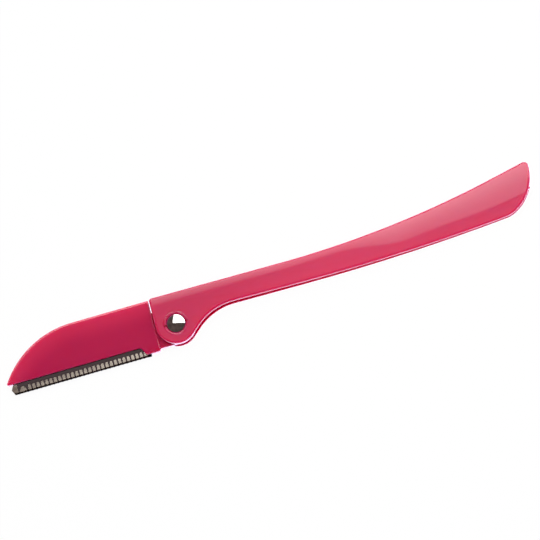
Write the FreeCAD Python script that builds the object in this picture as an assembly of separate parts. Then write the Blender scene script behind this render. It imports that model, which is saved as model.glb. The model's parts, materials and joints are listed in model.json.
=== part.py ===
import FreeCAD, Part
import math
import os

# Folding eyebrow razor, lying open on its rear face. Millimetres, +Z up.
# It is drawn round its pivot: +X runs to the handle's butt, +Y to the spine, and Z is zero on the rear
# face. At the end everything moves so that the origin is under the middle of the whole razor.

# Blade, a steel strip with a ground edge. Depths are measured down from the pivot towards the edge.
HOLDER_EDGE_DEPTH = 3.35
BLADE_THICKNESS = 0.3
BLADE_PROUD = 2.88
BLADE_ROOT = 2.9
BLADE_EDGE_FLAT = 0.02
BEVEL_HEIGHT = 0.5
BLADE_END_REACH = 8.5
BLADE_END_ROUND = 0.4
BLADE_SETBACK = 1.5
BLADE_POINT = 0.7
KEY_RADIUS = 0.6
KEY_MARGIN = 3.0
KEY_COUNT = 4

# Guard, a thin sheet folded over the blade's edge, with a row of windows
GUARD_SHEET = 0.14
GUARD_PROUD = 0.07
GUARD_ROOT = 0.9
GUARD_TIP_SETBACK = 0.95
GUARD_FOOT_SETBACK = 0.05
GUARD_END_BAR = 0.25
WINDOW_HEIGHT = 1.38
WINDOW_WIDTH = 0.86
WINDOW_TOP_WIDTH = 0.66
WINDOW_ROUND = 0.25
WINDOW_PITCH = 1.187
END_WINDOW_WIDTH = 2.2
END_WINDOW_TOP_WIDTH = 0.7

# Blade holder, a moulding round the blade, with a tang in the handle's slot
HOLDER_THICKNESS = 1.8
TIP_REACH = 47.76
TIP_HEIGHT = 0.5
TIP_ROUND = 0.4
NOSE_RADIUS = 24.7
HOLDER_SPINE_STEP = 0.09
STEP_REACH = 10.85
STEP_ANGLE = 65.0
STEP_UPPER_ROUND = 1.3
STEP_LOWER_ROUND = 0.7
FOOT_PROUD = 2.27
FOOT_ROUND = 0.6
SHOULDER_ROUND = 0.4
HOLDER_RIM_ROUND = 0.3
TANG_THICKNESS = 1.2
TANG_STEP = 0.6
TANG_OVERLAP = 1.2

# Handle, a moulding with an open slot along its lower side. It thins steadily towards the butt.
TAPER_ANGLE = 1.31
WALL = 0.8
WEB = 1.66
BOSS_RADIUS = 5.45
SPINE_BEND_START = 30.7
SPINE_BEND_RADIUS = 270.0
SPINE_FALL_ANGLE = 0.25
BUTT_ANGLE = 12.6
WAIST_HEIGHT = 1.5
WAIST_REACH = 36.0
WAIST_FALL_ANGLE = 0.65
EDGE_BEND_RADIUS = 570.0
EDGE_BEND_LENGTH = 55.85
RAMP_ANGLE = 42.0
RAMP_ROUND = 15.5
BUTT_TURN_RADIUS = 7.6
BUTT_TURN_ANGLE = 25.0
BUTT_ROUND_RADIUS = 12.4
BUTT_CORNER = 1.2
END_CORNER = 0.7
RIM_ROUND = 0.5
SLOT_END_HEIGHT = 9.2
NUB_RADIUS = 0.45
NUB_PROUD = 0.2
PAD_INSET = 0.15

# Pivot rivet, a pin with a domed head pressed into a sleeve with a low head
SLEEVE_RADIUS = 1.5
HEAD_RADIUS = 2.4
SLEEVE_HEAD = 0.5
SLEEVE_CHAMFER = 0.15
PIN_RADIUS = 0.9
PIN_HEAD_EDGE = 0.3
PIN_HEAD_PROUD = 0.2
COUNTERBORE_DEPTH = 0.6
DISH_WIDTH = 0.65
DISH_DEPTH = 0.12
NOTCH_RADIUS = 0.24

# Fits and clearances
BEARING_GAP = 0.05
PRESS_GAP = 0.01
HEAD_GAP = 0.25
TANG_SIDE_GAP = 0.1
HOLDER_SIDE_GAP = 0.2
OPEN_STOP_GAP = 0.3
FOLD_STOP_GAP = 0.05
EDGE_CLEARANCE = 0.45
STEP_CLEARANCE = 0.35

# How far a cut runs past what it cuts, and how near an edge must be to be picked
OVERRUN = 1.0
NEAR = 0.02

# Sizes that follow from those above. The folded holder's tip lies between the walls with a gap on
# each side, and from there the handle thickens towards the pivot.
MIDDLE = WALL + HOLDER_SIDE_GAP + HOLDER_THICKNESS / 2
THICKNESS_AT_TIP = 2 * MIDDLE
THICKNESS_AT_PIVOT = THICKNESS_AT_TIP + TIP_REACH * math.tan(math.radians(TAPER_ANGLE))
HEAD_SEAT = THICKNESS_AT_PIVOT - COUNTERBORE_DEPTH
BLADE_EDGE_DEPTH = HOLDER_EDGE_DEPTH + BLADE_PROUD
BEVEL_DEPTH = BLADE_EDGE_DEPTH - BEVEL_HEIGHT
BLADE_BACK_DEPTH = HOLDER_EDGE_DEPTH - BLADE_ROOT
BLADE_REACH = TIP_REACH - BLADE_SETBACK
GUARD_TOP_DEPTH = HOLDER_EDGE_DEPTH - GUARD_ROOT
GUARD_EDGE_DEPTH = BLADE_EDGE_DEPTH + GUARD_PROUD
FOOT_DEPTH = HOLDER_EDGE_DEPTH + FOOT_PROUD
TANG_RADIUS = FOOT_DEPTH - TANG_STEP
SHOULDER_REACH = BOSS_RADIUS + OPEN_STOP_GAP
BLADE_ROOM_HEIGHT = GUARD_EDGE_DEPTH + EDGE_CLEARANCE
SPINE_HEIGHT = BLADE_ROOM_HEIGHT + WEB
HOLDER_SPINE_HEIGHT = SPINE_HEIGHT + HOLDER_SPINE_STEP
COUNTERBORE_RADIUS = HEAD_RADIUS + HEAD_GAP
DISH_RADIUS = COUNTERBORE_RADIUS + DISH_WIDTH
OUTSIDE = BOSS_RADIUS + OVERRUN


def vec(x, y, z=0.0):
    return FreeCAD.Vector(x, y, z)


def towards(angle):
    """The flat direction at an angle from +X."""
    return vec(math.cos(math.radians(angle)), math.sin(math.radians(angle)))


def line(start, end):
    return Part.LineSegment(start, end).toShape()


def chain(points):
    """Straight edges through a list of points."""
    return [line(a, b) for a, b in zip(points, points[1:])]


def left_turn(start, heading, radius, sweep):
    """An arc that leaves start along heading and turns left: its edge, its end and the new heading."""
    centre = start + towards(heading + 90) * radius
    middle = centre + towards(heading - 90 + sweep / 2) * radius
    end = centre + towards(heading - 90 + sweep) * radius
    return Part.Arc(start, middle, end).toShape(), end, heading + sweep


def right_turn(start, heading, radius, sweep):
    """The same, turning right."""
    centre = start + towards(heading - 90) * radius
    middle = centre + towards(heading + 90 - sweep / 2) * radius
    end = centre + towards(heading + 90 - sweep) * radius
    return Part.Arc(start, middle, end).toShape(), end, heading - sweep


def crossing(point_a, heading_a, point_b, heading_b):
    """The point where two straight lines cross."""
    a = towards(heading_a)
    b = towards(heading_b)
    gap = point_b - point_a
    reach = (gap.x * b.y - gap.y * b.x) / (a.x * b.y - a.y * b.x)
    return point_a + a * reach


def out_of_circle(point, heading, centre, radius):
    """The point where a line along heading leaves a circle."""
    way = towards(heading)
    nearest = point + way * (centre - point).dot(way)
    half = math.sqrt(radius**2 - (nearest - centre).Length ** 2)
    return nearest + way * half


def slab(edges, low, high):
    """A solid between two heights over a closed outline."""
    face = Part.Face(Part.Wire(edges))
    face.translate(vec(0, 0, low))
    return face.extrude(vec(0, 0, high - low))


def rail(points, start, end):
    """A solid along X over a closed outline of (depth, height) points, the depth counted down from Y zero."""
    corners = [vec(start, -depth, height) for depth, height in points]
    face = Part.Face(Part.makePolygon(corners + corners[:1]))
    return face.extrude(vec(end - start, 0, 0))


def disc(radius, low, high, x=0.0, y=0.0):
    return Part.makeCylinder(radius, high - low, vec(x, y, low))


def round_uprights(solid, point, radius):
    """Rounds the upright edge that stands at a point."""
    chosen = []
    for edge in solid.Edges:
        box = edge.BoundBox
        upright = box.ZLength > NEAR and box.XLength < NEAR and box.YLength < NEAR
        if upright and (vec(box.XMin, box.YMin) - point).Length < NEAR:
            chosen.append(edge)
    return solid.makeFillet(radius, chosen)


def round_rims(solid, radius):
    """Rounds every edge that isn't upright, which is the rim of both faces of a flat piece."""
    return solid.makeFillet(radius, [edge for edge in solid.Edges if edge.BoundBox.ZLength < edge.Length / 2])


def behind_front(depth):
    """All the room behind the handle's sloping front face, or behind a plane at a depth under it."""
    side = 2 * SPINE_BEND_RADIUS
    top = THICKNESS_AT_PIVOT - depth
    room = Part.makeBox(side, side, side, vec(-side / 2, -side / 2, top - side))
    room.rotate(vec(0, 0, top), vec(0, 1, 0), TAPER_ANGLE)
    return room


def lower_edge():
    """The handle's outline from the left of the boss to the start of the butt's round."""
    left = vec(-BOSS_RADIUS, 0)
    waist = vec(WAIST_REACH, WAIST_HEIGHT)
    boss, boss_end, heading = left_turn(left, -90, BOSS_RADIUS, 90 + RAMP_ANGLE)
    corner = crossing(boss_end, RAMP_ANGLE, waist, -WAIST_FALL_ANGLE)
    sweep = RAMP_ANGLE + WAIST_FALL_ANGLE
    trim = RAMP_ROUND * math.tan(math.radians(sweep / 2))
    ramp_end = corner - towards(RAMP_ANGLE) * trim
    ramp, waist_start, heading = right_turn(ramp_end, RAMP_ANGLE, RAMP_ROUND, sweep)
    bend_sweep = math.degrees(EDGE_BEND_LENGTH / EDGE_BEND_RADIUS)
    bend, bend_end, heading = left_turn(waist, heading, EDGE_BEND_RADIUS, bend_sweep)
    butt, butt_end, heading = left_turn(bend_end, heading, BUTT_TURN_RADIUS, BUTT_TURN_ANGLE)
    edges = [boss, line(boss_end, ramp_end), ramp, line(waist_start, waist), bend, butt]
    return edges, butt_end, heading


def spine_edge(depth):
    """The spine's bend at a depth under the spine: where it starts, its centre, its radius and its end."""
    start = vec(-BOSS_RADIUS, SPINE_HEIGHT)
    start = start + towards(-SPINE_FALL_ANGLE) * (BOSS_RADIUS + SPINE_BEND_START)
    centre = start + towards(90 - SPINE_FALL_ANGLE) * SPINE_BEND_RADIUS
    radius = SPINE_BEND_RADIUS + depth
    bend_start = centre + towards(-90 - SPINE_FALL_ANGLE) * radius
    bend_middle = centre + towards(-90 + (BUTT_ANGLE - SPINE_FALL_ANGLE) / 2) * radius
    bend_end = centre + towards(-90 + BUTT_ANGLE) * radius
    return bend_start, bend_middle, bend_end, centre, radius


def handle_block():
    """The handle's outside, solid, and the butt's round: its centre and its top corner."""
    edges, butt_start, heading = lower_edge()
    bend_start, bend_middle, bend_end, _, _ = spine_edge(0)
    centre = butt_start + towards(heading + 90) * BUTT_ROUND_RADIUS
    top_right = out_of_circle(bend_end, BUTT_ANGLE, centre, BUTT_ROUND_RADIUS)
    out = top_right - centre
    sweep = math.degrees(math.atan2(out.y, out.x)) + 90 - heading
    butt, _, _ = left_turn(butt_start, heading, BUTT_ROUND_RADIUS, sweep)
    top_left = vec(-BOSS_RADIUS, SPINE_HEIGHT)
    edges.append(butt)
    edges.append(line(top_right, bend_end))
    edges.append(Part.Arc(bend_end, bend_middle, bend_start).toShape())
    edges.append(line(bend_start, top_left))
    edges.append(line(top_left, vec(-BOSS_RADIUS, 0)))
    block = slab(edges, 0, THICKNESS_AT_PIVOT + OVERRUN).common(behind_front(0))
    block = round_uprights(block, top_left, END_CORNER)
    block = round_uprights(block, top_right, BUTT_CORNER)
    return round_rims(block, RIM_ROUND), centre, top_right


def slot_room(butt_corner):
    """The room between the handle's walls, open at the pivot's end, below and round the butt."""
    _, _, bend_end, centre, radius = spine_edge(WEB)
    step = BLADE_END_REACH - STEP_CLEARANCE
    blade_end = out_of_circle(vec(0, BLADE_ROOM_HEIGHT), 0, centre, radius)
    half_way = (math.degrees(math.atan2(blade_end.y - centre.y, blade_end.x - centre.x)) + BUTT_ANGLE - 90) / 2
    bend_middle = centre + towards(half_way) * radius
    inner_reach = butt_corner.x - WEB
    inner_top = crossing(bend_end, BUTT_ANGLE, vec(inner_reach, 0), 90)
    before = [
        vec(step, FOOT_DEPTH + FOLD_STOP_GAP),
        vec(step, BLADE_ROOM_HEIGHT),
        blade_end,
    ]
    after = [
        bend_end,
        inner_top,
        vec(inner_reach, SLOT_END_HEIGHT),
        vec(butt_corner.x + OVERRUN, SLOT_END_HEIGHT),
        vec(butt_corner.x + OVERRUN, -OUTSIDE),
        vec(-OUTSIDE, -OUTSIDE),
        vec(-OUTSIDE, FOOT_DEPTH + FOLD_STOP_GAP),
        before[0],
    ]
    edges = chain(before) + [Part.Arc(blade_end, bend_middle, bend_end).toShape()] + chain(after)
    return slab(edges, WALL, THICKNESS_AT_PIVOT).common(behind_front(WALL))


def pads():
    """The thick rounds inside the walls that the tang runs between."""
    radius = BOSS_RADIUS - PAD_INSET
    gap = TANG_THICKNESS / 2 + TANG_SIDE_GAP
    rear = disc(radius, WALL, MIDDLE - gap)
    front = disc(radius, MIDDLE + gap, THICKNESS_AT_PIVOT)
    return [rear, front]


def rivet_seats():
    """All that is cut from the handle for the rivet."""
    top = THICKNESS_AT_PIVOT + OVERRUN
    cuts = [
        disc(SLEEVE_RADIUS + PRESS_GAP, -OVERRUN, top),
        disc(COUNTERBORE_RADIUS, -OVERRUN, COUNTERBORE_DEPTH),
        disc(COUNTERBORE_RADIUS, HEAD_SEAT, top),
        disc(DISH_RADIUS, HEAD_SEAT, top).cut(behind_front(DISH_DEPTH)),
    ]
    for side in (-1, 1):
        cuts.append(disc(NOTCH_RADIUS, HEAD_SEAT, top, side * COUNTERBORE_RADIUS))
    return cuts


def nub(centre):
    """The small moulding mark on the butt, just above the slot's end."""
    rise = SLOT_END_HEIGHT + NUB_RADIUS - centre.y
    angle = math.degrees(math.asin(rise / BUTT_ROUND_RADIUS))
    place = centre + towards(angle) * (BUTT_ROUND_RADIUS - NUB_RADIUS + NUB_PROUD)
    return disc(NUB_RADIUS, WALL, THICKNESS_AT_TIP, place.x, place.y).common(behind_front(WALL))


def handle():
    block, butt_centre, butt_corner = handle_block()
    room = slot_room(butt_corner)
    for pad in pads():
        room = room.cut(pad)
    body = block.cut(room).fuse(nub(butt_centre))
    for cut in rivet_seats():
        body = body.cut(cut)
    return body.removeSplitter()


def blade_profile(gap):
    """The blade's section, grown by a gap, as (depth, height) points."""
    half = BLADE_THICKNESS / 2 + gap
    half_edge = BLADE_EDGE_FLAT / 2 + gap
    return [
        (BLADE_BACK_DEPTH, MIDDLE + half),
        (BEVEL_DEPTH, MIDDLE + half),
        (BLADE_EDGE_DEPTH + gap, MIDDLE + half_edge),
        (BLADE_EDGE_DEPTH + gap, MIDDLE - half_edge),
        (BEVEL_DEPTH, MIDDLE - half),
        (BLADE_BACK_DEPTH, MIDDLE - half),
    ]


def blade_strip():
    """The blade before its holes are punched."""
    point = vec(-BLADE_REACH - BLADE_POINT, -(HOLDER_EDGE_DEPTH + BLADE_EDGE_DEPTH) / 2)
    foot_corner = vec(-BLADE_END_REACH, -BLADE_EDGE_DEPTH)
    points = [
        vec(-BLADE_REACH, -BLADE_EDGE_DEPTH),
        foot_corner,
        vec(-BLADE_END_REACH, -BLADE_BACK_DEPTH),
        vec(-BLADE_REACH + BLADE_ROOT, -BLADE_BACK_DEPTH),
        vec(-BLADE_REACH, -HOLDER_EDGE_DEPTH),
        point,
        vec(-BLADE_REACH, -BLADE_EDGE_DEPTH),
    ]
    strip = slab(chain(points), MIDDLE - BLADE_THICKNESS, MIDDLE + BLADE_THICKNESS)
    strip = round_uprights(strip, foot_corner, BLADE_END_ROUND)
    bar = rail(blade_profile(0), -TIP_REACH - OVERRUN, 0)
    return strip.common(bar)


def keys(radius):
    """The round keys of plastic through the blade's hidden half."""
    depth = (BLADE_BACK_DEPTH + GUARD_TOP_DEPTH) / 2
    first = BLADE_END_REACH + KEY_MARGIN
    last = BLADE_REACH - BLADE_ROOT - KEY_MARGIN
    pitch = (last - first) / (KEY_COUNT - 1)
    low = MIDDLE - BLADE_THICKNESS
    high = MIDDLE + BLADE_THICKNESS
    return [disc(radius, low, high, -first - pitch * n, -depth) for n in range(KEY_COUNT)]


def blade():
    strip = blade_strip()
    for key in keys(KEY_RADIUS):
        strip = strip.cut(key)
    return strip


def guard_sleeve():
    """The guard before its windows are cut, and before the blade's room."""
    half = BLADE_THICKNESS / 2 + PRESS_GAP + GUARD_SHEET
    half_edge = BLADE_EDGE_FLAT / 2 + GUARD_SHEET / 2
    profile = [
        (GUARD_TOP_DEPTH, MIDDLE + half),
        (BEVEL_DEPTH, MIDDLE + half),
        (GUARD_EDGE_DEPTH, MIDDLE + half_edge),
        (GUARD_EDGE_DEPTH, MIDDLE - half_edge),
        (BEVEL_DEPTH, MIDDLE - half),
        (GUARD_TOP_DEPTH, MIDDLE - half),
    ]
    start = -BLADE_REACH + GUARD_TIP_SETBACK
    end = -BLADE_END_REACH - GUARD_FOOT_SETBACK
    return rail(profile, start, end), start, end


def window(width, top_width):
    """One window of the guard: a round-topped opening that runs down past the fold."""
    top = -BEVEL_DEPTH + WINDOW_HEIGHT
    left = vec(-top_width / 2, top)
    right = vec(top_width / 2, top)
    points = [
        vec(-width / 2, -GUARD_EDGE_DEPTH - OVERRUN),
        vec(width / 2, -GUARD_EDGE_DEPTH - OVERRUN),
        vec(width / 2, -BEVEL_DEPTH),
        right,
        left,
        vec(-width / 2, -BEVEL_DEPTH),
        vec(-width / 2, -GUARD_EDGE_DEPTH - OVERRUN),
    ]
    opening = slab(chain(points), MIDDLE - BLADE_THICKNESS - GUARD_SHEET, MIDDLE + BLADE_THICKNESS + GUARD_SHEET)
    opening = round_uprights(opening, left, WINDOW_ROUND)
    return round_uprights(opening, right, WINDOW_ROUND)


def blade_guard():
    sheet, start, end = guard_sleeve()
    room = rail(blade_profile(PRESS_GAP), start - OVERRUN, end + OVERRUN)
    sheet = sheet.cut(room)
    end_window = window(END_WINDOW_WIDTH, END_WINDOW_TOP_WIDTH)
    end_window.translate(vec(start + GUARD_END_BAR + END_WINDOW_WIDTH / 2, 0))
    openings = [end_window]
    bar = WINDOW_PITCH - WINDOW_WIDTH
    first = start + GUARD_END_BAR + END_WINDOW_WIDTH + bar + WINDOW_WIDTH / 2
    last = end - GUARD_END_BAR - WINDOW_WIDTH / 2
    for n in range(int((last - first) / WINDOW_PITCH) + 1):
        opening = window(WINDOW_WIDTH, WINDOW_TOP_WIDTH)
        opening.translate(vec(first + n * WINDOW_PITCH, 0))
        openings.append(opening)
    return sheet.cut(Part.makeCompound(openings))


def holder_plate():
    """The flat part of the holder: nose, lower edge, step, foot and shoulder."""
    drop = HOLDER_SPINE_HEIGHT + HOLDER_EDGE_DEPTH - TIP_HEIGHT
    sweep = math.degrees(math.acos(1 - drop / NOSE_RADIUS))
    run = NOSE_RADIUS * math.sin(math.radians(sweep))
    nose_start = vec(run - TIP_REACH, HOLDER_SPINE_HEIGHT)
    nose, nose_end, heading = left_turn(nose_start, 180, NOSE_RADIUS, sweep)
    tip = vec(-TIP_REACH, -HOLDER_EDGE_DEPTH)
    step_top = vec(-STEP_REACH, -HOLDER_EDGE_DEPTH)
    step_run = FOOT_PROUD / math.tan(math.radians(STEP_ANGLE))
    step_foot = vec(-STEP_REACH + step_run, -FOOT_DEPTH)
    foot = vec(-SHOULDER_REACH, -FOOT_DEPTH)
    shoulder = vec(-SHOULDER_REACH, HOLDER_SPINE_HEIGHT)
    outline = [nose] + chain([nose_end, tip, step_top, step_foot, foot, shoulder, nose_start])
    plate = slab(outline, MIDDLE - HOLDER_THICKNESS / 2, MIDDLE + HOLDER_THICKNESS / 2)
    rounds = [
        (tip, TIP_ROUND),
        (step_top, STEP_UPPER_ROUND),
        (step_foot, STEP_LOWER_ROUND),
        (foot, FOOT_ROUND),
        (shoulder, SHOULDER_ROUND),
    ]
    for place, radius in rounds:
        plate = round_uprights(plate, place, radius)
    return round_rims(plate, HOLDER_RIM_ROUND)


def tang():
    """The thin round-ended part of the holder that the rivet passes through."""
    low = MIDDLE - TANG_THICKNESS / 2
    high = MIDDLE + TANG_THICKNESS / 2
    root = -SHOULDER_REACH - TANG_OVERLAP
    neck = Part.makeBox(-root, 2 * TANG_RADIUS, TANG_THICKNESS, vec(root, -TANG_RADIUS, low))
    return neck.fuse(disc(TANG_RADIUS, low, high)).removeSplitter()


def blade_holder():
    body = holder_plate().fuse(tang())
    sheet, _, _ = guard_sleeve()
    body = body.cut(blade_strip()).cut(sheet)
    for key in keys(KEY_RADIUS - PRESS_GAP):
        body = body.fuse(key)
    bore = disc(SLEEVE_RADIUS + BEARING_GAP, -OVERRUN, THICKNESS_AT_PIVOT + OVERRUN)
    return body.cut(bore).removeSplitter()


def rivet_sleeve():
    """The rear half of the rivet: a low head in its counterbore and a tube through both walls."""
    head_low = COUNTERBORE_DEPTH - SLEEVE_HEAD
    head = disc(HEAD_RADIUS, head_low, COUNTERBORE_DEPTH)
    head = head.makeChamfer(SLEEVE_CHAMFER, [edge for edge in head.Edges if edge.BoundBox.ZMax < head_low + NEAR])
    tube = disc(SLEEVE_RADIUS, COUNTERBORE_DEPTH, HEAD_SEAT)
    bore = disc(PIN_RADIUS + PRESS_GAP, COUNTERBORE_DEPTH, HEAD_SEAT)
    return head.fuse(tube).cut(bore).removeSplitter()


def rivet_pin():
    """The front half of the rivet: a domed head and a solid pin."""
    edge = HEAD_SEAT + PIN_HEAD_EDGE
    top = THICKNESS_AT_PIVOT + PIN_HEAD_PROUD
    rise = top - edge
    dome_radius = (HEAD_RADIUS**2 + rise**2) / (2 * rise)
    ball = Part.makeSphere(dome_radius, vec(0, 0, top - dome_radius))
    head = disc(HEAD_RADIUS, HEAD_SEAT, top + OVERRUN).common(ball)
    pin = disc(PIN_RADIUS, COUNTERBORE_DEPTH + BEARING_GAP, HEAD_SEAT)
    return head.fuse(pin).removeSplitter()


def nodes():
    """Every piece by name, drawn round the pivot."""
    return {
        "handle": handle(),
        "blade_holder": blade_holder(),
        "blade": blade(),
        "blade_guard": blade_guard(),
        "rivet_pin": rivet_pin(),
        "rivet_sleeve": rivet_sleeve(),
    }


def main():
    pieces = nodes()
    box = Part.makeCompound(list(pieces.values())).optimalBoundingBox(False)
    move = vec(-(box.XMin + box.XMax) / 2, -(box.YMin + box.YMax) / 2, -box.ZMin)
    print("pivot at", move.x, move.y, "size", box.XLength, box.YLength, box.ZLength)
    os.makedirs("parts", exist_ok=True)
    for name, shape in pieces.items():
        shape.translate(move)
        print(name, shape.isValid(), len(shape.Solids), round(shape.Volume, 2))
        shape.exportStep("parts/" + name + ".step")


if __name__ == "__main__":
    main()
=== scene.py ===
import json
import math

import bmesh
import bpy
from mathutils import Matrix, Vector


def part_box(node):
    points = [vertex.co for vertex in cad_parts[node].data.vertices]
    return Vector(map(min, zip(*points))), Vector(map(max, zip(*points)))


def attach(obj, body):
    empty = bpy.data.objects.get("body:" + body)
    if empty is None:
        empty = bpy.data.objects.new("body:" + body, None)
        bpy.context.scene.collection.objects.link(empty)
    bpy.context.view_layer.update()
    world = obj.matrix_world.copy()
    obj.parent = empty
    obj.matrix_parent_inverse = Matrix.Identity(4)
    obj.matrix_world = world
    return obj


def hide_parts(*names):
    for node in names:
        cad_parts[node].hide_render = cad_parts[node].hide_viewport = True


# Looks of the folding eyebrow razor. Metres, in the frame's own axes: +X to the handle's butt, +Y to the
# spine, +Z up out of the front face.
MM = 0.001
X = (1, 0, 0)
Y = (0, 1, 0)
Z = (0, 0, 1)
WHITE = (1, 1, 1, 1)

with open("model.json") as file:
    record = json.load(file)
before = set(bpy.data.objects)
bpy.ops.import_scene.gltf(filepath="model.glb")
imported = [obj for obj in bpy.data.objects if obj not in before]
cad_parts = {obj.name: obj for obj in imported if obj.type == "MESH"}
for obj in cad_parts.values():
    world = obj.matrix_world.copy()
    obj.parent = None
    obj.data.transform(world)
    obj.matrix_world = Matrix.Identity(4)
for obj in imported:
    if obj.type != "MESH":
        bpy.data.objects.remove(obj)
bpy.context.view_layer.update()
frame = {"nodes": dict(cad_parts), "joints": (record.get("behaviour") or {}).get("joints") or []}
NODES = frame["nodes"]
PIVOT = Vector(frame["joints"][0]["pos_m"])
RIVET_TOP = Vector((PIVOT.x, PIVOT.y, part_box("rivet_pin")[1].z))
HOLDER_LOW, HOLDER_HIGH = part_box("blade_holder")
BLADE_LOW, BLADE_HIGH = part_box("blade")
HANDLE_LOW, HANDLE_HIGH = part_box("handle")

# Camera. The photograph is seen from so far away that its lines stay parallel.
VIEW_AWAY = Vector((0.058, -0.230, 0.9715)).normalized()
VIEW_ROLL = math.radians(16.0)
FRAME_WIDTH = 143.1 * MM
FRAME_RIGHT = 25.0 * MM
FRAME_UP = 14.0 * MM
LENS = 1200.0
SENSOR = 36.0
SIGHT_END = 100.0


def make_camera():
    """A long lens whose picture is turned until the razor lies at the photograph's slant."""
    away = VIEW_AWAY
    along = Vector(X)
    along = (along - away * along.dot(away)).normalized()
    across = away.cross(along)
    right = along * math.cos(VIEW_ROLL) - across * math.sin(VIEW_ROLL)
    up = along * math.sin(VIEW_ROLL) + across * math.cos(VIEW_ROLL)
    centre = RIVET_TOP + right * FRAME_RIGHT + up * FRAME_UP
    data = bpy.data.cameras.new("camera")
    data.sensor_width = SENSOR
    data.lens = LENS
    data.clip_end = SIGHT_END
    camera = bpy.data.objects.new("camera", data)
    bpy.context.scene.collection.objects.link(camera)
    distance = FRAME_WIDTH * LENS / SENSOR
    turn = Matrix((right, up, away)).transposed().to_4x4()
    camera.matrix_world = Matrix.Translation(centre + away * distance) @ turn
    bpy.context.scene.camera = camera


# Nearly all of a noise lies between these two values.
NOISE_LOW = 0.3
NOISE_HIGH = 0.7


class Tree:
    """Small helpers that add nodes to one material's or world's tree."""

    def __init__(self, owner):
        owner.use_nodes = True
        self.tree = owner.node_tree
        self.tree.nodes.clear()

    def node(self, kind, **settings):
        made = self.tree.nodes.new(kind)
        for name, value in settings.items():
            setattr(made, name, value)
        return made

    def put(self, socket, value):
        """Links a socket to a socket, or sets it to a plain value."""
        if isinstance(value, bpy.types.NodeSocket):
            self.tree.links.new(value, socket)
        else:
            socket.default_value = value

    def math(self, operation, first, second=0.0):
        made = self.node("ShaderNodeMath", operation=operation)
        self.put(made.inputs[0], first)
        self.put(made.inputs[1], second)
        return made.outputs[0]

    def product(self, *values):
        result = values[0]
        for value in values[1:]:
            result = self.math("MULTIPLY", result, value)
        return result

    def slant(self, along, across):
        """Length of the slanted line over two lines that stand square to each other."""
        squares = [self.product(side, side) for side in (along, across)]
        return self.math("SQRT", self.math("ADD", *squares))

    def dot(self, vector, axis):
        made = self.node("ShaderNodeVectorMath", operation="DOT_PRODUCT")
        self.put(made.inputs[0], vector)
        made.inputs[1].default_value = axis
        return made.outputs["Value"]

    def ramp(self, value, low, high, start=0.0, end=1.0):
        """Goes smoothly from start to end as the value goes from low to high."""
        made = self.node("ShaderNodeMapRange", interpolation_type="SMOOTHSTEP")
        self.put(made.inputs["Value"], value)
        made.inputs["From Min"].default_value = low
        made.inputs["From Max"].default_value = high
        made.inputs["To Min"].default_value = start
        made.inputs["To Max"].default_value = end
        return made.outputs["Result"]

    def mix(self, kind, factor, first, second):
        made = self.node("ShaderNodeMix", data_type=kind)
        self.put(made.inputs["Factor"], factor)
        self.put(made.inputs["A"], first)
        self.put(made.inputs["B"], second)
        return made.outputs["Result"]

    def mix_colour(self, factor, first, second):
        return self.mix("RGBA", factor, first, second)

    def mix_number(self, factor, first, second):
        return self.mix("FLOAT", factor, first, second)

    def place(self):
        """The point on the piece, in the piece's own metres."""
        return self.node("ShaderNodeTexCoord").outputs["Object"]

    def along(self, axis):
        """How far along an axis the point on the piece lies."""
        return self.dot(self.place(), axis)

    def noise(self, scale, detail, stretch=(1.0, 1.0, 1.0)):
        turn = self.node("ShaderNodeMapping")
        turn.inputs["Scale"].default_value = stretch
        self.put(turn.inputs["Vector"], self.place())
        made = self.node("ShaderNodeTexNoise")
        self.put(made.inputs["Vector"], turn.outputs["Vector"])
        made.inputs["Scale"].default_value = scale
        made.inputs["Detail"].default_value = detail
        return made.outputs["Fac"]

    def spread(self, noise, low, high):
        """A value that a noise moves between low and high."""
        return self.ramp(noise, NOISE_LOW, NOISE_HIGH, low, high)

    def uneven(self, noise, value, change):
        """A value that a noise raises and lowers by up to a share of itself."""
        return self.spread(noise, value * (1 - change), value * (1 + change))

    def bump(self, height, distance):
        made = self.node("ShaderNodeBump")
        made.inputs["Distance"].default_value = distance
        self.put(made.inputs["Height"], height)
        return made.outputs["Normal"]

    def finish(self, shader, kind="ShaderNodeOutputMaterial"):
        self.put(self.node(kind).inputs["Surface"], shader.outputs[0])


# Studio as reflections see it. A large softbox hangs above, behind and to the right of the razor, turned a
# little. Its light grows away from its near edge and is dimmer again farther off. A fainter screen reaches
# below that edge. A low band of white wall runs all round, brightest behind, under a dark uneven ceiling.
BOX_TURN = math.radians(10.0)
BOX_NEAR_TILT = math.radians(13.66)
BOX_FAR_TILT = math.radians(80.0)
BOX_LEFT_TILT = math.radians(-20.0)
BOX_RIGHT_TILT = math.radians(60.0)
BOX_SOFT_EDGE = 0.015
BOX_GROWTH_TILT = math.radians(16.3)
BOX_NEAR_LIGHT = 1.95
BOX_FAR_LIGHT = 5.3
BOX_DIM_START_TILT = math.radians(24.0)
BOX_DIM_END_TILT = math.radians(40.0)
BOX_DIM_SHARE = 0.42
SCREEN_NEAR_TILT = math.radians(10.5)
SCREEN_LEFT_TILT = math.radians(-4.4)
SCREEN_LIGHT = 0.8
WALL_TOP = math.sin(math.radians(10.0))
WALL_FADE = math.sin(math.radians(7.0))
WALL_TURN = 0.2
WALL_FRONT_LIGHT = 0.4
WALL_BACK_LIGHT = 3.0
CEILING_LIGHT = 0.085
CEILING_CHANGE = 0.3
CEILING_PATCHES = 4.0
CEILING_COLOUR = (1.0, 0.74, 0.70, 1)
# Light up to the first strength has the ceiling's colour, and from the second one on it is white.
TINTED_STRENGTH = 0.1
WHITE_STRENGTH = 0.3
# Keeps slopes finite for directions at the horizon and below it.
LEAST_RISE = 0.001
# Everything but reflections is lit by this even light, with more from low down in front.
FILL_LIGHT = 0.5
FILL_FRONT_LIGHT = 0.7


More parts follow.
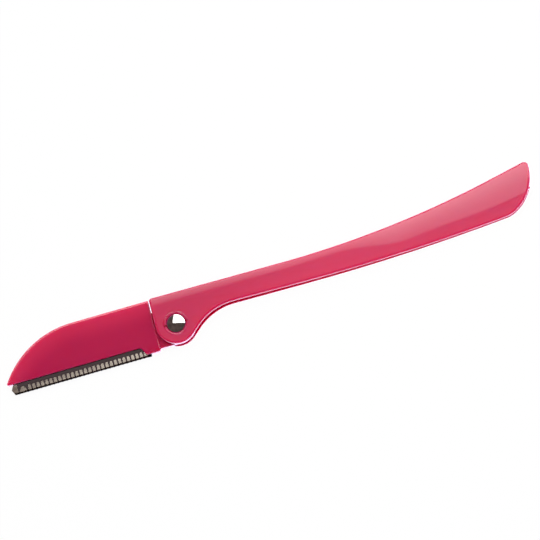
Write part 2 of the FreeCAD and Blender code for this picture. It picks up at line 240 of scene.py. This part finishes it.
def patch(t, slope, low_tilt, high_tilt):
    """Is 1 where a direction's slope lies between two tilts, and 0 elsewhere."""
    low = math.tan(low_tilt)
    high = math.tan(high_tilt)
    rising = t.ramp(slope, low, low + BOX_SOFT_EDGE)
    falling = t.ramp(slope, high, high + BOX_SOFT_EDGE, 1.0, 0.0)
    return t.product(rising, falling)


def panel_light(t, direction, rise):
    """Light of the softbox, and of the screen that reaches below it."""
    right = (math.cos(BOX_TURN), -math.sin(BOX_TURN), 0)
    behind = (math.sin(BOX_TURN), math.cos(BOX_TURN), 0)
    across = t.math("DIVIDE", t.dot(direction, right), rise)
    back = t.math("DIVIDE", t.dot(direction, behind), rise)
    softbox = t.product(
        patch(t, back, BOX_NEAR_TILT, BOX_FAR_TILT),
        patch(t, across, BOX_LEFT_TILT, BOX_RIGHT_TILT),
        t.ramp(back, math.tan(BOX_NEAR_TILT), math.tan(BOX_GROWTH_TILT), BOX_NEAR_LIGHT, BOX_FAR_LIGHT),
        t.ramp(back, math.tan(BOX_DIM_START_TILT), math.tan(BOX_DIM_END_TILT), 1.0, BOX_DIM_SHARE),
    )
    screen = t.product(
        patch(t, back, SCREEN_NEAR_TILT, BOX_FAR_TILT),
        patch(t, across, SCREEN_LEFT_TILT, BOX_RIGHT_TILT),
        SCREEN_LIGHT,
    )
    return t.math("MAXIMUM", softbox, screen)


def ceiling_light(t, direction):
    """Light of the dark ceiling, a little uneven."""
    patches = t.node("ShaderNodeTexNoise")
    patches.inputs["Scale"].default_value = CEILING_PATCHES
    t.put(patches.inputs["Vector"], direction)
    return t.uneven(patches.outputs["Fac"], CEILING_LIGHT, CEILING_CHANGE)


def make_world():
    """White to the camera, the studio to reflections, and the fill light to everything else."""
    world = bpy.data.worlds.new("studio")
    bpy.context.scene.world = world
    t = Tree(world)
    direction = t.node("ShaderNodeTexCoord").outputs["Generated"]
    up = t.dot(direction, Z)
    back = t.dot(direction, Y)
    low = t.ramp(up, WALL_FADE, WALL_TOP, 1.0, 0.0)
    wall = t.product(low, t.ramp(back, -WALL_TURN, WALL_TURN, WALL_FRONT_LIGHT, WALL_BACK_LIGHT))
    panels = panel_light(t, direction, t.math("MAXIMUM", up, LEAST_RISE))
    studio = t.math("ADD", t.math("MAXIMUM", panels, wall), ceiling_light(t, direction))
    front = t.product(low, t.ramp(back, -WALL_TURN, WALL_TURN, FILL_FRONT_LIGHT, 0.0))
    fill = t.math("ADD", front, FILL_LIGHT)
    path = t.node("ShaderNodeLightPath")
    strength = t.mix_number(path.outputs["Is Glossy Ray"], fill, studio)
    seen = t.mix_number(path.outputs["Is Camera Ray"], strength, 1.0)
    whiteness = t.ramp(seen, TINTED_STRENGTH, WHITE_STRENGTH)
    shade = t.node("ShaderNodeBackground")
    t.put(shade.inputs["Color"], t.mix_colour(whiteness, CEILING_COLOUR, WHITE))
    t.put(shade.inputs["Strength"], seen)
    t.finish(shade, "ShaderNodeOutputWorld")


# The lamp that shades matt surfaces hangs nearly overhead, a little nearer the butt.
LAMP_PLACE = Vector((60, 60, 400)) * MM
LAMP_SIZE = 350 * MM
LAMP_POWER = 1.26


def make_lamp():
    """A square lamp that points at the razor, and that reflections don't see."""
    data = bpy.data.lights.new("softbox", "AREA")
    data.size = LAMP_SIZE
    data.energy = LAMP_POWER
    lamp = bpy.data.objects.new("softbox", data)
    bpy.context.scene.collection.objects.link(lamp)
    lamp.location = LAMP_PLACE
    lamp.rotation_euler = LAMP_PLACE.to_track_quat("Z", "Y").to_euler()
    lamp.visible_glossy = False


# Floor. The camera sees it white with a faint shadow. Edges that mirror it show it brighter and cooler.
FLOOR_HALF = 3.0
FLOOR_CORNERS = ((-1, -1), (1, -1), (1, 1), (-1, 1))
FLOOR_GAP = 0.02 * MM
PAPER_COLOUR = (0.93, 0.93, 0.93, 1)
PAPER_SHARE = 0.05
MIRRORED_LIGHT = 4.0
MIRRORED_COLOUR = (0.75, 0.74, 1.0, 1)


def make_paper():
    """Light of its own for the camera and for reflections, with a small share of real paper."""
    material = bpy.data.materials.new("floor_paper")
    t = Tree(material)
    paper = t.node("ShaderNodeBsdfDiffuse")
    paper.inputs["Color"].default_value = PAPER_COLOUR
    path = t.node("ShaderNodeLightPath")
    mirrored = path.outputs["Is Glossy Ray"]
    white = t.node("ShaderNodeEmission")
    t.put(white.inputs["Strength"], t.ramp(mirrored, 0.0, 1.0, 1.0, MIRRORED_LIGHT))
    t.put(white.inputs["Color"], t.mix_colour(mirrored, WHITE, MIRRORED_COLOUR))
    direct = t.math("MAXIMUM", path.outputs["Is Camera Ray"], mirrored)
    mixed = t.node("ShaderNodeMixShader")
    t.put(mixed.inputs["Fac"], t.product(direct, 1 - PAPER_SHARE))
    t.put(mixed.inputs[1], paper.outputs[0])
    t.put(mixed.inputs[2], white.outputs[0])
    t.finish(mixed)
    return material


def make_floor():
    """A white sheet that the razor lies on."""
    mesh = bpy.data.meshes.new("floor")
    corners = [(x * FLOOR_HALF, y * FLOOR_HALF, 0) for x, y in FLOOR_CORNERS]
    mesh.from_pydata(corners, [], [range(len(corners))])
    floor = bpy.data.objects.new("floor", mesh)
    floor.location.z = -FLOOR_GAP
    bpy.context.scene.collection.objects.link(floor)
    mesh.materials.append(make_paper())


# Shells. A shell has a CAD node's shape, with a front face that falls slightly towards an edge. The front
# face is what lies above FRONT_FLOOR, and what faces up by more than FRONT_RISE.
GRID_ALONG = 1.0 * MM
WELD = 0.001 * MM
FRONT_FLOOR = 1.7 * MM
FRONT_RISE = 0.2
NUDGE = 0.01 * MM
FACING = "facing"


def blend(value, low, high):
    """Goes smoothly from 0 to 1 as the value goes from low to high."""
    share = min(1.0, max(0.0, (value - low) / (high - low)))
    return share * share * (3 - 2 * share)


def welded(node):
    """A mesh with a CAD node's shape, its corners joined into one skin, and the way each corner faces."""
    source = NODES[node].data
    bm = bmesh.new()
    facing = bm.loops.layers.float_vector.new(FACING)
    corners = [bm.verts.new(corner.co) for corner in source.vertices]
    for polygon in source.polygons:
        face = bm.faces.new([corners[index] for index in polygon.vertices])
        for loop, index in zip(face.loops, polygon.loop_indices):
            loop[facing] = source.corner_normals[index].vector
    bmesh.ops.remove_doubles(bm, verts=bm.verts, dist=WELD)
    bm.normal_update()
    return bm


def steps(low, high, step):
    """Places a step apart, the first of them half a step from the low end."""
    count = int((high - low) / step)
    return [low + step * (index + 0.5) for index in range(count)]


def is_front(face):
    return face.normal.z > FRONT_RISE and face.calc_center_median().z > FRONT_FLOOR


def cut_front(bm, axis, places):
    """Cuts the front face and its rim with one plane at each place along an axis."""
    square = Vector(axis)
    for place in places:
        front = [face for face in bm.faces if is_front(face)]
        parts = dict.fromkeys(part for face in front for part in (*face.verts, *face.edges))
        cut = front + list(parts)
        bmesh.ops.bisect_plane(bm, geom=cut, plane_co=square * place, plane_no=square, dist=WELD)


def fall_slope(fall, x, y):
    """How fast the fall of a front face grows along X and along Y."""
    along = (fall(x + NUDGE, y) - fall(x - NUDGE, y)) / (2 * NUDGE)
    across = (fall(x, y + NUDGE) - fall(x, y - NUDGE)) / (2 * NUDGE)
    return Vector((along, across, 0))


def lower_front(bm, fall):
    """Lowers a front face by its fall, and turns the way that its corners face to suit."""
    facing = bm.loops.layers.float_vector[FACING]
    for face in bm.faces:
        for loop in face.loops:
            place = loop.vert.co
            if place.z > FRONT_FLOOR:
                loop[facing] = loop[facing] + fall_slope(fall, place.x, place.y) * loop[facing].z
    for vertex in bm.verts:
        if vertex.co.z > FRONT_FLOOR:
            vertex.co.z -= fall(vertex.co.x, vertex.co.y)


def skin(bm, name):
    """An object from a mesh whose corners face the ways they carry."""
    mesh = bpy.data.meshes.new(name)
    bm.to_mesh(mesh)
    bm.free()
    mesh.shade_smooth()
    facing = mesh.attributes[FACING]
    mesh.normals_split_custom_set([Vector(item.vector).normalized() for item in facing.data])
    # The call above may move the attributes, so this one is looked up again.
    mesh.attributes.remove(mesh.attributes[FACING])
    piece = bpy.data.objects.new(name, mesh)
    bpy.context.scene.collection.objects.link(piece)
    return piece


# Handle. The spine runs straight from the pivot's end, then bends up along an arc. The front face falls
# towards it, over a width that grows towards the butt, and the fallen part catches the softbox.
SPINE_HEIGHT = HOLDER_HIGH.y - 0.09 * MM
SPINE_BEND_START = PIVOT.x + 30.7 * MM
SPINE_BEND_RADIUS = 270 * MM
FALL_WIDTH = 2.0 * MM
FALL_BLEND = 0.7 * MM
FALL_TILT = math.radians(0.7)
FALL_STEEP = math.radians(1.4)
FALL_STEEP_BUTT = math.radians(1.8)
WIDENING_START = PIVOT.x + 46 * MM
WIDENING_END = PIVOT.x + 66 * MM
WIDENED_WIDTH = 5.6 * MM
BUTT_WIDTH = 8.2 * MM
GRID_ACROSS = 0.25 * MM
GRID_DEPTH = 12 * MM


def spine_y(x):
    """Height of the handle's spine at a place along it."""
    run = max(0.0, x - SPINE_BEND_START)
    return SPINE_HEIGHT + SPINE_BEND_RADIUS - math.sqrt(SPINE_BEND_RADIUS ** 2 - run ** 2)


def handle_fall(x, y):
    """How far the handle's front face lies below its plane."""
    depth = spine_y(x) - y
    wide = blend(x, WIDENING_START, WIDENING_END)
    to_butt = blend(x, WIDENING_END, HANDLE_HIGH.x)
    width = FALL_WIDTH + (WIDENED_WIDTH - FALL_WIDTH) * wide + (BUTT_WIDTH - WIDENED_WIDTH) * to_butt
    steep = FALL_STEEP + (FALL_STEEP_BUTT - FALL_STEEP) * wide
    if depth > width + FALL_BLEND:
        return 0.0
    if depth > width:
        return FALL_TILT * (width + FALL_BLEND - depth) ** 2 / (2 * FALL_BLEND)
    inside = width - depth
    return FALL_TILT * (FALL_BLEND / 2 + inside) + (steep - FALL_TILT) * inside ** 3 / (3 * width ** 2)


def make_handle():
    """The handle with the slight fall of its front face, cut along lines that follow the spine."""
    bm = welded("handle")
    cut_front(bm, X, steps(HANDLE_LOW.x, HANDLE_HIGH.x, GRID_ALONG))
    for vertex in bm.verts:
        vertex.co.y -= spine_y(vertex.co.x)
    cut_front(bm, Y, steps(-GRID_DEPTH, 0, GRID_ACROSS))
    for vertex in bm.verts:
        vertex.co.y += spine_y(vertex.co.x)
    lower_front(bm, handle_fall)
    piece = skin(bm, "handle_shell")
    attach(piece, "grip")
    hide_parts("handle")
    return piece


# Blade holder. Its spine runs straight and then round the nose in one arc, and its front face rolls off a
# little towards both.
NOSE_RADIUS = 24.7 * MM
NOSE_START = PIVOT.x - 26.98 * MM
NOSE_CENTRE_Y = HOLDER_HIGH.y - NOSE_RADIUS
ROLL_WIDTH = 0.75 * MM
ROLL_TILT = math.radians(4.5)
ROLL_STEP = 0.06 * MM


def unrolled(place):
    """A point's place when the nose's arc is laid out straight: the run along it, and its height."""
    back = NOSE_START - place.x
    rise = place.y - NOSE_CENTRE_Y
    if back <= 0:
        return Vector((-back, rise, place.z))
    return Vector((-math.atan2(back, rise) * NOSE_RADIUS, math.hypot(back, rise), place.z))


def rolled(place):
    """The point whose place is given with the nose's arc laid out straight."""
    if place.x >= 0:
        return Vector((NOSE_START + place.x, NOSE_CENTRE_Y + place.y, place.z))
    angle = place.x / NOSE_RADIUS
    x = NOSE_START + place.y * math.sin(angle)
    y = NOSE_CENTRE_Y + place.y * math.cos(angle)
    return Vector((x, y, place.z))


def holder_fall(x, y):
    """How far the holder's front face lies below its plane."""
    depth = NOSE_RADIUS - unrolled(Vector((x, y, 0))).y
    inside = max(0.0, ROLL_WIDTH - max(0.0, depth))
    return ROLL_TILT * inside * inside / (2 * ROLL_WIDTH)


def make_holder():
    """The blade holder with the slight roll of its front face."""
    bm = welded("blade_holder")
    cut_front(bm, X, steps(HOLDER_LOW.x, HOLDER_HIGH.x, GRID_ALONG))
    cut_front(bm, Y, steps(HOLDER_LOW.y, HOLDER_HIGH.y, GRID_ALONG))
    for vertex in bm.verts:
        vertex.co = unrolled(vertex.co)
    cut_front(bm, Y, steps(NOSE_RADIUS - ROLL_WIDTH, NOSE_RADIUS, ROLL_STEP))
    for vertex in bm.verts:
        vertex.co = rolled(vertex.co)
    lower_front(bm, holder_fall)
    piece = skin(bm, "holder_shell")
    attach(piece, "blade_arm")
    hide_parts("blade_holder")
    return piece


# Plastic. Light sinks into it and comes out again reddest.
CLOUD_SCALE = 60.0
CLOUD_DETAIL = 2.0
CLOUD_SHARE = 0.06
GLOSS_SCALE = 900.0
GLOSS_DETAIL = 4.0
GLOSS_CHANGE = 0.1
RIPPLE_SCALE = 150.0
RIPPLE_DETAIL = 2.0
RIPPLE_STRETCH = (0.3, 1.0, 1.0)
RIPPLE_DEPTH = 0.002 * MM
PLASTIC_IOR = 1.5
SINK_WEIGHT = 1.0
SINK_RADIUS = (1.0, 0.15, 0.3)
SINK_DEPTH = 2.5 * MM


def same(t, colour):
    """No tint."""
    return colour


def level(t):
    """No relief."""
    return 0.0


def plastic(name, deep, light, roughness, painted_light, tint=same, relief=level):
    """Moulded plastic that lets some red light through, with painted light in its colour, faint clouding,
    uneven gloss and ripple.
    """
    material = bpy.data.materials.new(name)
    t = Tree(material)
    shader = t.node("ShaderNodeBsdfPrincipled")
    cloud = t.spread(t.noise(CLOUD_SCALE, CLOUD_DETAIL), -CLOUD_SHARE, CLOUD_SHARE)
    # The colour mixes from shaded to lit by painted light, with faint clouding.
    colour = t.mix_colour(t.math("ADD", painted_light(t), cloud), deep, light)
    t.put(shader.inputs["Base Color"], tint(t, colour))
    gloss = t.noise(GLOSS_SCALE, GLOSS_DETAIL)
    t.put(shader.inputs["Roughness"], t.uneven(gloss, roughness, GLOSS_CHANGE))
    ripple = t.noise(RIPPLE_SCALE, RIPPLE_DETAIL, RIPPLE_STRETCH)
    t.put(shader.inputs["Normal"], t.bump(t.math("ADD", ripple, relief(t)), RIPPLE_DEPTH))
    shader.inputs["IOR"].default_value = PLASTIC_IOR
    shader.inputs["Subsurface Weight"].default_value = SINK_WEIGHT
    shader.inputs["Subsurface Radius"].default_value = SINK_RADIUS
    shader.inputs["Subsurface Scale"].default_value = SINK_DEPTH
    t.finish(shader)
    return material


def reach(t, x, y):
    """Distance of the point on the piece from a line along Z."""
    return t.slant(t.math("SUBTRACT", t.along(X), x), t.math("SUBTRACT", t.along(Y), y))


# The handle's plastic, lighter from its middle to its butt by painted light, with a painted glow of deep
# red on the slot's floor, a lip round the seat of the rivet's head, and painted shade in a nick on each
# side of the seat.
# The first two colours are the handle's red at the boss and its red lit more strongly from the middle on;
# painted light mixes them.
HANDLE_SHADED = (0.55, 0.013, 0.088, 1)
HANDLE_LIT = (0.62, 0.026, 0.108, 1)
HANDLE_ROUGHNESS = 0.05
BOSS_END = PIVOT.x + 5 * MM
MIDDLE_START = PIVOT.x + 45 * MM
WALL_THICKNESS = 0.8 * MM
SLOT_FLOOR = HANDLE_LOW.z + WALL_THICKNESS
SLOT_SLACK = 0.05 * MM
SLOT_RISE = 0.5
# Painted glow: deep red on the slot's floor, in place of light that reaches through the plastic.
SLOT_PAINTED_GLOW = (0.62, 0.002, 0.055, 1)
LIP_RADIUS = 3.05 * MM
LIP_HALF = 0.3 * MM
LIP_HEIGHT = 0.007 * MM
NICK_REACH = 2.9 * MM
NICK_RADIUS = 0.6 * MM
# Painted shade in the two nicks beside the seat of the rivet's head.
NICK_PAINTED_SHADE = (0.28, 0.002, 0.012, 1)


def handle_painted_light(t):
    """Painted light: the handle's colour is a little lighter from its middle to its butt, where more light
    falls.
    """
    return t.ramp(t.along(X), BOSS_END, MIDDLE_START)


def handle_painted_glow_and_shade(t, colour):
    """Painted glow of deep red on the slot's floor, in place of light that reaches through the plastic, and
    painted shade in two nicks beside the rivet.
    """
    height = t.math("SUBTRACT", t.along(Z), SLOT_FLOOR)
    near_floor = t.math("LESS_THAN", t.math("ABSOLUTE", height), SLOT_SLACK)
    normal = t.node("ShaderNodeNewGeometry").outputs["Normal"]
    facing_up = t.math("GREATER_THAN", t.dot(normal, Z), SLOT_RISE)
    # Painted glow on the slot's floor.
    colour = t.mix_colour(t.product(near_floor, facing_up), colour, SLOT_PAINTED_GLOW)
    # Painted shade in each nick.
    for side in (-1, 1):
        away = reach(t, PIVOT.x + side * NICK_REACH, PIVOT.y)
        colour = t.mix_colour(t.ramp(away, 0.0, NICK_RADIUS, 1.0, 0.0), colour, NICK_PAINTED_SHADE)
    return colour


def handle_relief(t):
    """A low lip round the seat of the rivet's head."""
    away = reach(t, PIVOT.x, PIVOT.y)
    rising = t.ramp(away, LIP_RADIUS - LIP_HALF, LIP_RADIUS)
    falling = t.ramp(away, LIP_RADIUS, LIP_RADIUS + LIP_HALF, 1.0, 0.0)
    return t.product(rising, falling, LIP_HEIGHT / RIPPLE_DEPTH)


def make_handle_plastic():
    return plastic(
        "handle_plastic",
        HANDLE_SHADED,
        HANDLE_LIT,
        HANDLE_ROUGHNESS,
        handle_painted_light,
        handle_painted_glow_and_shade,
        handle_relief,
    )


# The holder's plastic, painted lighter along its spine and its nose, in place of light that passes through
# it there.
# The first colour is the holder's red away from its edges, the second its red with painted glow.
HOLDER_SHADED = (0.465, 0.0095, 0.0745, 1)
HOLDER_LIT = (0.62, 0.020, 0.094, 1)
HOLDER_ROUGHNESS = 0.08
PAINTED_GLOW_DEPTH = 6.6 * MM


def holder_painted_glow(t):
    """Painted glow: share of lighter colour in place of light that the plastic lets through, most along its
    spine and its nose.
    """
    back = t.math("MINIMUM", t.math("SUBTRACT", t.along(X), NOSE_START), 0.0)
    rise = t.math("SUBTRACT", t.along(Y), NOSE_CENTRE_Y)
    return t.ramp(t.slant(back, rise), NOSE_RADIUS - PAINTED_GLOW_DEPTH, NOSE_RADIUS)


def make_holder_plastic():
    return plastic("holder_plastic", HOLDER_SHADED, HOLDER_LIT, HOLDER_ROUGHNESS, holder_painted_glow)


# Metal, with a grain drawn out along its length.
GRAIN_SCALE = 120.0
GRAIN_DETAIL = 4.0
GRAIN_STRETCH = (1, 8, 8)
GRAIN_DEPTH = 0.00005 * MM
GRAIN_SHARE = 0.12
EVEN_SHARE = 0.5


def even_shade(t):
    """Halfway between dark and light all over."""
    return EVEN_SHARE


def metal(name, dark, light, roughness, shade=even_shade):
    """Metal between a dark and a light colour, with a faint grain. A shade other than the even one paints
    reflection and shade between them.
    """
    material = bpy.data.materials.new(name)
    t = Tree(material)
    shader = t.node("ShaderNodeBsdfPrincipled")
    shader.inputs["Metallic"].default_value = 1.0
    grain = t.noise(GRAIN_SCALE, GRAIN_DETAIL, GRAIN_STRETCH)
    share = t.math("ADD", shade(t), t.spread(grain, -GRAIN_SHARE, GRAIN_SHARE))
    t.put(shader.inputs["Base Color"], t.mix_colour(share, dark, light))
    t.put(shader.inputs["Roughness"], t.uneven(grain, roughness, GLOSS_CHANGE))
    t.put(shader.inputs["Normal"], t.bump(grain, GRAIN_DEPTH))
    t.finish(shader)
    return material


# The blade's dark and light colours are its painted shade and painted reflection; the guard's and the
# chrome's bound the tone of their grain.
BLADE_SHADED = (0.105, 0.080, 0.066, 1)
BLADE_LIT = (0.32, 0.28, 0.238, 1)
BLADE_ROUGHNESS = 0.2
TIP_LENGTH = 4 * MM
TIP_SHARE = 0.4
GUARD_DARK = (0.030, 0.022, 0.023, 1)
GUARD_LIGHT = (0.040, 0.029, 0.030, 1)
GUARD_ROUGHNESS = 0.25
CHROME_DARK = (0.80, 0.76, 0.73, 1)
CHROME_LIGHT = (0.86, 0.82, 0.79, 1)
CHROME_ROUGHNESS = 0.05


def blade_painted_reflection(t):
    """Painted reflection: the blade is darkest at its tip, and goes on growing lighter to its other end."""
    x = t.along(X)
    tip = t.ramp(x, BLADE_LOW.x, BLADE_LOW.x + TIP_LENGTH, 0.0, TIP_SHARE)
    rest = t.ramp(x, BLADE_LOW.x, BLADE_HIGH.x, 0.0, 1 - TIP_SHARE)
    return t.math("ADD", tip, rest)


def make_blade_steel():
    return metal("blade_steel", BLADE_SHADED, BLADE_LIT, BLADE_ROUGHNESS, blade_painted_reflection)


def make_guard_steel():
    return metal("guard_steel", GUARD_DARK, GUARD_LIGHT, GUARD_ROUGHNESS)


def make_chrome():
    return metal("rivet_chrome", CHROME_DARK, CHROME_LIGHT, CHROME_ROUGHNESS)


def dress(material, *pieces):
    """Gives each piece the material, in place of any it has."""
    for piece in pieces:
        piece.data.materials.clear()
        piece.data.materials.append(material)


make_camera()
make_world()
make_lamp()
make_floor()
dress(make_handle_plastic(), make_handle(), NODES["handle"])
dress(make_holder_plastic(), make_holder(), NODES["blade_holder"])
dress(make_blade_steel(), NODES["blade"])
dress(make_guard_steel(), NODES["blade_guard"])
dress(make_chrome(), NODES["rivet_pin"], NODES["rivet_sleeve"])

bpy.context.scene.view_settings.view_transform = "Standard"
